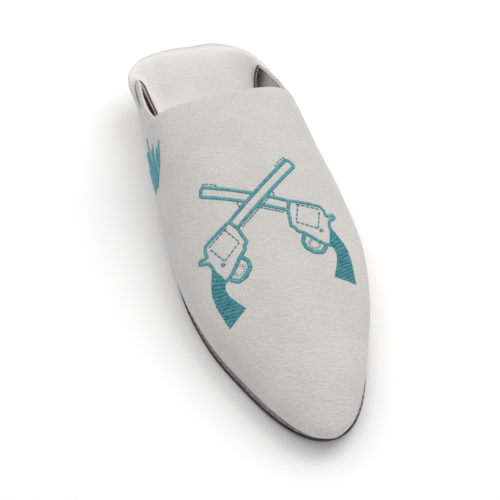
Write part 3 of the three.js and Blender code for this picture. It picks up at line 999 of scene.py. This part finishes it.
# ---------------------------------------------------------------- threads
def thread_piece(name: str, lines: Array, outward: Array, tones: Array, radius: float,
                 finish: bpy.types.Material, around: int = 6) -> bpy.types.Object:
    """Many threads in one piece, each a closed tube.

    A ring of points stands square to the line at each of its places, and a point past each end
    closes the tube.

    Args:
        name: the piece's name.
        lines: centre lines, of shape (threads, places, 3).
        outward: the way out of the surface below, of the same shape.
        tones: shade numbers from 0 to 1, one for each place of each thread.
        radius: of a thread.
        finish: the material.
        around: points on a ring.

    Returns:
        The piece.
    """
    threads, places = lines.shape[:2]
    way = unit(np.gradient(lines, axis=1))
    side = unit(np.cross(way, outward))
    rise = np.cross(side, way)
    angle = (np.arange(around) / around * 2 * np.pi - np.pi / 2)[:, None]
    rings = lines[:, :, None] + radius * (
        np.cos(angle) * side[:, :, None] + np.sin(angle) * rise[:, :, None])
    caps = lines[:, [0, -1]] + way[:, [0, -1]] * np.array([[-0.6], [0.6]]) * radius
    points = np.concatenate([rings.reshape(threads, -1, 3), caps], axis=1)
    body = places * around
    here = np.arange(body - around)
    after = here - here % around + (here + 1) % around
    flanks = np.stack([here, here + around, after + around, after], axis=-1)
    lip, lip_after = here[:around], after[:around]
    last = body - around
    ends = np.concatenate([
        np.stack([np.full(around, body), lip, lip_after], axis=-1),
        np.stack([np.full(around, body + 1), last + lip_after, last + lip], axis=-1),
    ])
    start = (np.arange(threads) * (body + 2))[:, None, None]
    step = np.linalg.norm(np.diff(lines, axis=1, prepend=lines[:, :1]), axis=-1).cumsum(axis=1)
    run = np.concatenate([np.repeat(step, around, axis=1), step[:, [0, -1]]], axis=1)
    turn = np.concatenate([np.tile(np.arange(around) / around, places), [0.0, 0.0]])
    uv = np.stack([run, np.broadcast_to(turn, run.shape)], axis=-1)
    faces = [(start + flanks).reshape(-1, 4), (start + ends).reshape(-1, 3)]
    tone = np.concatenate([np.repeat(tones, around, axis=1), tones[:, [0, -1]]], axis=1)
    values = {"tone": tone.ravel()}
    return make_piece(name, points.reshape(-1, 3), faces, finish, values, uv.reshape(-1, 2))


@dataclass
class Stitches:
    """Straight stitches on a flat chart: both ends, how far each rises, and its tone."""

    starts: Array
    ends: Array
    rise: Array
    tone: Array

    @classmethod
    def joined(cls, parts: list["Stitches"]) -> "Stitches":
        """All the stitches of several sets."""
        return cls(*(np.concatenate([getattr(part, name) for part in parts])
                     for name in ("starts", "ends", "rise", "tone")))

    def kept(self, keep: Array) -> "Stitches":
        """The stitches that a mask keeps."""
        return Stitches(self.starts[keep], self.ends[keep], self.rise[keep], self.tone[keep])

    def placed(self, origin: Array, along: Array, up: Array) -> "Stitches":
        """The stitches moved to an origin, with their two axes turned."""
        turned = [origin + ends[:, :1] * along + ends[:, 1:] * up
                  for ends in (self.starts, self.ends)]
        return Stitches(*turned, self.rise, self.tone)


Path = tuple[tuple[float, float], ...]


@dataclass
class Needle:
    """Makes stitches along paths and between edges, with a little unevenness."""

    spacing: float = 0.38
    corner: float = 0.7
    uneven: float = 0.06
    seed: int = 7

    def __post_init__(self) -> None:
        """Starts the random numbers."""
        self.chance = np.random.default_rng(self.seed)

    def places(self, path: Path, at: Array) -> Array:
        """Points of a polyline at distances along it."""
        path = np.array(path, float)
        run = self.runs(path)
        return np.stack([np.interp(at, run, path[:, 0]), np.interp(at, run, path[:, 1])], axis=-1)

    @staticmethod
    def runs(path: Path) -> Array:
        """Distance along a polyline to each of its corners."""
        steps = np.linalg.norm(np.diff(np.array(path, float), axis=0), axis=1)
        return np.concatenate([[0.0], np.cumsum(steps)])

    def made(self, starts: Array, ends: Array, rise: float, tone: tuple[float, float]) -> Stitches:
        """Stitches with their ends a little uneven, and tones within a range."""
        count = len(starts)
        shake = self.chance.normal(0, self.uneven, (2, count, 2))
        heights = rise * self.chance.uniform(0.85, 1.15, count)
        tones = self.chance.uniform(*tone, count)
        return Stitches(starts + shake[0], ends + shake[1], heights, tones)

    def satin(self, path: Path, width: float, slant: float = 0.3, rise: float = 0.5,
              tip: float = 1.0, tone: tuple[float, float] = (0.5, 1.0)) -> Stitches:
        """Stitches side by side across a path.

        Args:
            path: the middle of the band.
            width: of the band at its middle.
            slant: how far a stitch leans along the path, as a share of its width.
            rise: height of the band's middle.
            tip: share of the width that is left at the two ends of the path.
            tone: lowest and highest tone.

        Returns:
            The stitches.
        """
        total = self.runs(path)[-1]
        at = np.arange(self.spacing / 2, total, self.spacing)
        middle = self.places(path, at)
        way = unit(self.places(path, at + self.corner) - self.places(path, at - self.corner))
        across = np.stack([-way[:, 1], way[:, 0]], axis=-1)
        half = width / 2 * mix(tip, 1.0, np.sin(np.pi * at / total))[:, None]
        lean = (across + way * slant) * half
        return self.made(middle - lean, middle + lean, rise, tone)

    def running(self, path: Path, dash: float = 1.6, gap: float = 0.9, rise: float = 0.3,
                tone: tuple[float, float] = (0.0, 0.45), apart: float = 0.15) -> Stitches:
        """Stitches one behind the other along a path, each of two threads side by side."""
        total = self.runs(path)[-1]
        at = np.arange(0, max(total - dash / 2, dash), dash + gap)
        starts, ends = self.places(path, at), self.places(path, np.minimum(at + dash, total))
        way = unit(ends - starts)
        off = np.stack([-way[:, 1], way[:, 0]], axis=-1) * apart
        return self.made(np.concatenate([starts - off, starts + off]),
                         np.concatenate([ends - off, ends + off]), rise, tone)

    def fill(self, back: Path, front: Path, step_way: tuple[float, float], length: float = 3.9,
             rise: float = 0.42, tone: tuple[float, float] = (0.1, 0.85)) -> Stitches:
        """Parallel rows of stitches from one edge to the other, cut and staggered like bricks.

        A row lies where both edges have the same measure along step_way. Its cuts lie a length
        apart and are pushed on by a fifth of a length in each next row.
        """
        way = np.array(step_way)
        edges = [np.array(edge, float) for edge in (back, front)]
        low, high = edges[0][0] @ way, edges[0][-1] @ way
        level = np.arange(low + self.spacing, high, self.spacing)
        near, far = (
            np.stack([np.interp(level, edge @ way, edge[:, axis]) for axis in range(2)], axis=-1)
            for edge in edges)
        wide = np.maximum(np.linalg.norm(far - near, axis=1), 0.1)
        push = (np.arange(len(level)) % 5 / 5 + 0.1) * length
        marks = np.arange(-1, int(wide.max() / length) + 2) * length
        cuts = np.clip(push[:, None] + marks, 0, wide[:, None]) / wide[:, None]
        ends = mix(near[:, None], far[:, None], cuts[:, :, None])
        long_enough = (np.diff(cuts, axis=1) * wide[:, None] > 0.5).ravel()
        starts, stops = ends[:, :-1].reshape(-1, 2), ends[:, 1:].reshape(-1, 2)
        return self.made(starts[long_enough], stops[long_enough], rise, tone)


# ---------------------------------------------------------------- embroidery
@dataclass
class VampChart:
    """A flat chart of the vamp.

    across is the way over the leather from the ridge, + on the medial side, and along is the
    Y of the ridge at the same station.
    """

    rows: int = 160
    shares: int = 240
    reach: float = 80.0
    places: int = 161
    probe: float = 0.3

    def __post_init__(self) -> None:
        """Measures the way over the leather from the ridge, row by row."""
        self.stations = np.linspace(0.05, LAST.throat, self.rows)
        share = np.linspace(1, 0, self.shares)
        marks = np.linspace(0, self.reach, self.places)
        self.tables = {}
        for side in Side:
            points = LAST.arch(self.stations[:, None], share[None], side)
            steps = np.linalg.norm(np.diff(points, axis=1), axis=-1)
            runs = np.concatenate([np.zeros((self.rows, 1)), np.cumsum(steps, axis=1)], axis=1)
            self.tables[side] = np.stack([np.interp(marks, run, share) for run in runs])
            self.ridge = points[:, 0, 1]

    def points(self, chart: Array) -> Array:
        """Points of the vamp at places of the chart, (..., 2) to (..., 3)."""
        across, along = chart[..., 0], chart[..., 1]
        station = np.interp(along, self.ridge, self.stations)
        row = np.clip(np.interp(along, self.ridge, np.arange(self.rows)), 0, self.rows - 1.001)
        mark = np.clip(np.abs(across) / self.reach * (self.places - 1), 0, self.places - 1.001)
        r, m = row.astype(int), mark.astype(int)
        u, v = row - r, mark - m
        halves = {}
        for side, table in self.tables.items():
            near = mix(table[r, m], table[r + 1, m], u)
            far = mix(table[r, m + 1], table[r + 1, m + 1], u)
            share = mix(near, far, v)
            halves[side] = LAST.arch(station, share, side)
        return np.where((across < 0)[..., None], halves[Side.LATERAL], halves[Side.MEDIAL])

    def lifted(self, chart: Array, height: Array) -> tuple[Array, Array]:
        """Points at a height over the creased leather, and the way out of it there."""
        here = self.points(chart)
        over = self.points(chart + [self.probe, 0]) - self.points(chart - [self.probe, 0])
        ahead = self.points(chart + [0, self.probe]) - self.points(chart - [0, self.probe])
        out = unit(np.cross(over, ahead))
        crease = crease_offset(here.reshape(-1, 3)).reshape(here.shape[:-1])
        return here + out * (height + crease)[..., None], out


class Weapon(Enum):
    """The two crossed pistols of the vamp: muzzle, and the way its barrel points back."""

    UPPER = ((24.9, 19.1), (-0.816, -0.578), (-0.578, 0.816))
    LOWER = ((-28.9, 13.7), (0.848, -0.397), (0.424, 0.905))

    @property
    def axes(self) -> tuple[Array, Array, Array]:
        """Origin at the muzzle, the way back along the barrel, and the way up."""
        return tuple(np.array(value) for value in self.value)


@dataclass(frozen=True)
class PistolDesign:
    """Lines of an old six-shot pistol: the muzzle at 0, the barrel along X, its top at +Y."""

    outline: float = 1.8
    barrel: Path = ((51.5, 2.8), (1.7, 2.8), (0.8, 2.2), (0.5, 0.0), (0.8, -2.2), (1.7, -2.8),
                    (51.5, -2.8))
    strap: Path = ((51.5, 3.0), (69.5, 5.4), (72.4, 3.4), (73.4, 1.0), (75.2, 1.2), (77.4, 3.4),
                   (78.9, 2.6), (78.4, 1.0), (76.6, -0.8), (76.0, -2.5), (77.0, -6.4))
    frame: Path = ((51.5, 3.2), (51.6, -3.2), (53.6, -8.0), (54.5, -11.5), (57.6, -12.1),
                   (58.6, -13.6), (62.8, -13.8), (68.0, -15.2), (74.0, -16.5), (78.4, -16.3))
    guard: Path = ((62.9, -14.6), (62.6, -19.0), (65.0, -22.0), (70.0, -23.2), (74.4, -22.0),
                   (76.4, -17.4))
    guard_width: float = 2.3
    trigger_place: tuple[float, float] = (69.4, -18.6)
    trigger_rays: int = 13
    trigger_outer: float = 3.9
    trigger_inner: float = 2.3
    grip_back: Path = ((76.6, -5.0), (80.5, -7.5), (85.4, -11.1), (88.8, -14.3), (92.1, -19.9),
                       (96.9, -33.0))
    grip_front: Path = ((76.6, -5.0), (78.0, -16.3), (80.5, -17.2), (82.4, -19.4), (83.4, -22.4),
                        (83.6, -27.7), (83.3, -33.9), (96.9, -33.0))
    grip_lay: tuple[float, float] = (0.266, -0.964)
    sight: Path = ((1.0, 3.9), (1.2, 4.9), (8.8, 4.7), (9.8, 3.9))
    rod: Path = ((22.6, -3.8), (23.2, -5.9), (25.3, -6.1), (26.0, -4.7), (50.8, -4.7))
    drum: Path = ((56.7, 2.2), (57.2, -8.6), (70.2, -8.8), (69.4, 2.3))
    inner_strap: Path = ((55.5, 1.9), (69.0, 3.2))
    knob: tuple[float, float] = (72.2, -9.2)
    knob_width: float = 2.4
    hidden: tuple[float, float, float] = (-1.0, 52.3, 3.75)

    def stitches(self, needle: Needle) -> Stitches:
        """All stitches of the pistol, in its own axes."""
        centre = np.array(self.trigger_place)
        angle = np.linspace(0, 2 * np.pi, self.trigger_rays, endpoint=False)
        rays = np.stack([np.cos(angle), np.sin(angle) * 0.8], axis=-1)
        knob_x, knob_y = self.knob
        half = self.knob_width / 2
        return Stitches.joined([
            needle.fill(self.grip_back, self.grip_front, self.grip_lay),
            needle.running(self.sight, tone=(0.1, 0.5)),
            needle.running(self.rod, dash=1.5, gap=0.5),
            needle.running(self.drum, dash=1.9, gap=0.8),
            needle.running(self.inner_strap, dash=2.2, gap=0.7),
            needle.satin(self.guard, self.guard_width),
            needle.made(centre + rays * self.trigger_outer, centre + rays * self.trigger_inner,
                        0.3, (0.1, 0.8)),
            needle.satin(((knob_x - half, knob_y), (knob_x + half, knob_y)), self.knob_width,
                         tip=0.4),
            needle.satin(self.frame, self.outline),
            needle.satin(self.strap, self.outline * 0.92),
            needle.satin(self.barrel, self.outline),
        ])

    def covers(self, chart: Array, axes: tuple[Array, Array, Array]) -> Array:
        """Whether places of the chart lie below this pistol's barrel."""
        origin, along, up = axes
        own = chart - origin
        low, high, half = self.hidden
        run, off = own @ along, own @ up
        return (run > low) & (run < high) & (np.abs(off) < half)


@dataclass
class Embroidery:
    """Crossed pistols on the vamp and a fan of leaves on the lateral wall."""

    design: PistolDesign = field(default_factory=PistolDesign)
    thread: float = 0.215
    sunk: float = 0.14
    profile: tuple[float, ...] = (0.0, 0.14, 0.5, 0.86, 1.0)
    end_painted_shade: float = 0.1
    leaf_foot: tuple[float, float] = (-57.2, 34.0)
    leaf_tips: Path = ((-42.0, 54.6), (-45.4, 52.0), (-48.2, 56.5), (-50.6, 54.5), (-53.2, 65.0),
                       (-57.6, 58.5), (-61.6, 60.5), (-65.6, 52.5))
    leaf_width: float = 2.2
    leaf_spread: float = 0.95

    def sewn(self, name: str, stitches: Stitches, chart: VampChart,
             finish: bpy.types.Material) -> None:
        """One piece of stitches, each bowed up from one end to the other.

        The height of a thread's middle line is the rise x sin(pi t) to the power 0.7, less the
        depth to which its ends go into the leather.
        """
        share = np.array(self.profile)[None, :, None]
        line = mix(stitches.starts[:, None], stitches.ends[:, None], share)
        bow = np.sin(np.pi * share[..., 0]) ** 0.7
        points, out = chart.lifted(line, stitches.rise[:, None] * bow - self.sunk)
        # painted shade darkens each thread towards its ends, where it sinks into the leather
        tones = stitches.tone[:, None] * mix(self.end_painted_shade, 1.0, bow)
        thread_piece(name, points, out, tones, self.thread, finish)

    def leaves(self, needle: Needle) -> Stitches:
        """Narrow leaves that spread from one foot, each a band of steeply slanting stitches."""
        parts = []
        middle = (len(self.leaf_tips) - 1) / 2
        for index, tip in enumerate(self.leaf_tips):
            off = middle - index
            foot = np.array(self.leaf_foot) + [off * self.leaf_spread, -0.1 * off * off]
            belly = (foot + tip) / 2 + [off * 0.35, -0.4]
            path = (tuple(foot), tuple(belly), tuple(tip))
            parts.append(needle.satin(path, self.leaf_width, slant=2.2, rise=0.42, tip=0.25))
        return Stitches.joined(parts)

    def build(self, chart: VampChart, finish: bpy.types.Material) -> None:
        """Makes the three pieces of stitching."""
        needle = Needle()
        own = self.design.stitches(needle)
        upper = own.placed(*Weapon.UPPER.axes)
        lower = self.design.stitches(needle).placed(*Weapon.LOWER.axes)
        middle = (lower.starts + lower.ends) / 2
        lower = lower.kept(~self.design.covers(middle, Weapon.UPPER.axes))
        self.sewn("embroidery_upper_pistol", upper, chart, finish)
        self.sewn("embroidery_lower_pistol", lower, chart, finish)
        self.sewn("embroidery_side_leaves", self.leaves(needle), chart, finish)


@dataclass
class Seam:
    """The row of stitches round the strip, with painted shade of a small pricked hole between each
    two.
    """

    reach: float = 0.82
    height: float = 4.75
    stitch: float = 3.0
    gap: float = 1.0
    thread: float = 0.3
    bow: float = 0.22
    hole: float = 0.32
    hole_depths: tuple[float, float, float] = (-0.3, -0.12, 0.0)
    places: int = 6
    seed: int = 3

    def line(self, at: Array, steps: int = 4000) -> tuple[Array, Array]:
        """Points and outward directions at shares of the way round the strip."""
        stations = np.linspace(0, 1, steps)
        points, outward = [], []
        for side, order in ((Side.MEDIAL, 1), (Side.LATERAL, -1)):
            x, y, out_x, out_y = LAST.feather(stations, side)
            reach = self.reach + LAST.welt_reach(stations, side)
            edge = np.stack([x + out_x * reach + SOLE_SHIFT[0], y + out_y * reach + SOLE_SHIFT[1],
                             self.height + LAST.spring(y)], axis=-1)
            points.append(edge[::order])
            outward.append(np.stack([out_x, out_y, np.zeros_like(x)], axis=-1)[::order])
        line, out = np.concatenate(points), np.concatenate(outward)
        run = np.concatenate([[0.0], np.cumsum(np.linalg.norm(np.diff(line, axis=0), axis=1))])
        at = at * run[-1]
        place, way = (np.stack([np.interp(at, run, rows[:, i]) for i in range(3)], axis=-1)
                      for rows in (line, out))
        return place, unit(way)

    def build(self, thread: bpy.types.Material, dark: bpy.types.Material) -> None:
        """Makes the stitches and the painted shade of the holes."""
        steps = np.linalg.norm(np.diff(self.line(np.linspace(0, 1, 2000))[0], axis=0), axis=1)
        count = round(float(steps.sum()) / (self.stitch + self.gap))
        start = np.arange(count)[:, None] / count
        share = self.stitch / (self.stitch + self.gap)
        t = np.linspace(0, 1, self.places)[None]
        points, out = self.line(start + t * share / count)
        bow = (np.sin(np.pi * t) ** 0.6 * self.bow - self.thread * 0.5)[..., None]
        tones = np.random.default_rng(self.seed).uniform(0.2, 1.0, (count, 1))
        # painted shade darkens each stitch towards its ends, where it goes into the strip
        tones = tones * mix(0.3, 1.0, np.sin(np.pi * t))
        thread_piece("strip_stitches", points + out * bow, out, tones, self.thread, thread)
        # dark tubes at the pricked holes, as their painted shade
        between = (start[:, 0] + (1 + share) / 2 / count)[:, None] % 1
        middle, way = self.line(np.repeat(between, 3, axis=1))
        depth = np.array(self.hole_depths)[None, :, None]
        upward = np.broadcast_to([0.0, 0.0, 1.0], middle.shape)
        thread_piece("strip_hole_shade", middle + way * depth, upward, np.zeros((count, 3)),
                     self.hole, dark)


# ---------------------------------------------------------------- studio
@dataclass(frozen=True)
class Lamp:
    """A square area light: its place and size in metres, and its power in watts."""

    name: str
    place: tuple[float, float, float]
    size: float
    power: float


@dataclass
class Studio:
    """A pale floor, soft lights and the camera."""

    azimuth: float = -15.0
    elevation: float = 56.0
    distance: float = 0.8
    lens: float = 101.8
    floor_size: float = 4.0
    room_light: float = 0.64
    lamp_target: tuple[float, float, float] = (0.0, 0.0, 0.02)
    lamps: tuple[Lamp, ...] = (
        Lamp("key", (0.9, 0.45, 1.4), 1.1, 11.0),
        Lamp("top", (-0.2, 0.8, 1.7), 1.6, 8.0),
    )

    def aim(self, thing: bpy.types.Object, place: Vector, target: Vector) -> None:
        """Puts a light or the camera in place, looking at the target."""
        thing.location = place
        thing.rotation_euler = (target - place).to_track_quat("-Z", "Y").to_euler()
        bpy.context.scene.collection.objects.link(thing)

    def target(self) -> Vector:
        """The middle of the last on the floor, in the shared frame."""
        return Vector(PLACING.metres(np.zeros(3)))

    def camera(self) -> None:
        """The camera, at a fixed angle and distance."""
        data = bpy.data.cameras.new("camera")
        data.lens = self.lens
        data.clip_end = 20.0
        angle, rise = math.radians(self.azimuth), math.radians(self.elevation)
        level = math.cos(rise)
        back = Vector((math.sin(angle) * level, -math.cos(angle) * level, math.sin(rise)))
        camera = bpy.data.objects.new("camera", data)
        self.aim(camera, self.target() + back * self.distance, self.target())
        bpy.context.scene.camera = camera

    def light(self, lamp: Lamp) -> None:
        """Sets up a lamp that looks at the shoe."""
        data = bpy.data.lights.new(lamp.name, "AREA")
        data.size = lamp.size
        data.energy = lamp.power
        light = bpy.data.objects.new(lamp.name, data)
        self.aim(light, Vector(lamp.place), Vector(self.lamp_target))

    def floor(self) -> None:
        """A flat square with a faint, slow change of shade."""
        half = self.floor_size / 2
        mesh = bpy.data.meshes.new("floor")
        corners = [(-half, -half, 0), (half, -half, 0), (half, half, 0), (-half, half, 0)]
        mesh.from_pydata(corners, [], [(0, 1, 2, 3)])
        finish, bench, shader = new_material("floor_paper")
        place = bench.add("ShaderNodeTexCoord").outputs["Object"]
        noise = bench.add("ShaderNodeTexNoise", inputs={"Vector": place, "Scale": 3.0})
        colour = bench.blend(noise.outputs["Fac"], srgb(251, 251, 251), srgb(253, 253, 253))
        bench.tree.links.new(colour, shader.inputs["Base Color"])
        shader.inputs["Roughness"].default_value = 0.9
        shader.inputs["Specular IOR Level"].default_value = 0.1
        mesh.materials.append(finish)
        floor = bpy.data.objects.new("floor", mesh)
        bpy.context.scene.collection.objects.link(floor)

    def build(self) -> None:
        """Sets the whole studio."""
        world = bpy.data.worlds.new("soft_room")
        world.use_nodes = True
        background = world.node_tree.nodes["Background"]
        background.inputs["Color"].default_value = (1.0, 1.0, 1.0, 1.0)
        background.inputs["Strength"].default_value = self.room_light
        bpy.context.scene.world = world
        self.floor()
        for lamp in self.lamps:
            self.light(lamp)
        self.camera()
        bpy.context.scene.view_settings.view_transform = "Standard"


def main() -> None:
    """Builds the shoe and its studio."""
    logging.basicConfig(level=logging.INFO)
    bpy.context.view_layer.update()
    grain, nap = grain_group(), nap_group()
    leather = LeatherFinish().material(grain)
    suede = SuedeFinish("suede_lining", srgb(252, 247, 245), srgb(222, 214, 211),
                        relief=0.0007, fibre=1500.0, patch=620.0, sheen=0.6).material(nap)
    rubber = SuedeFinish("outsole_edge", srgb(84, 73, 76), srgb(58, 49, 52),
                         roughness=0.75, relief=0.0002).material(nap)
    strip = SuedeFinish("strip_leather", srgb(172, 160, 160), srgb(148, 137, 138),
                        roughness=0.7, relief=0.0002).material(nap)
    teal = ThreadFinish("embroidery_thread", srgb(134, 200, 204), srgb(74, 158, 168),
                        srgb(42, 114, 126)).material()
    cotton = ThreadFinish("strip_thread", srgb(186, 176, 174), srgb(160, 149, 148),
                          srgb(128, 117, 118), roughness=0.65).material()
    # a dark colour painted as the shade inside the pricked holes
    hole = ThreadFinish("pricked_hole_shade", srgb(72, 62, 62), srgb(52, 44, 45),
                        srgb(38, 32, 33), roughness=0.9).material()
    sock = LeatherFinish("sock_leather", srgb(206, 199, 192), srgb(192, 184, 176)).material(grain)
    Upper().build(leather, suede)
    Sole().build(rubber, strip, sock)
    Embroidery().build(VampChart(), teal)
    Seam().build(cotton, hole)
    Studio().build()
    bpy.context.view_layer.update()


if __name__ == "__main__":
    main()
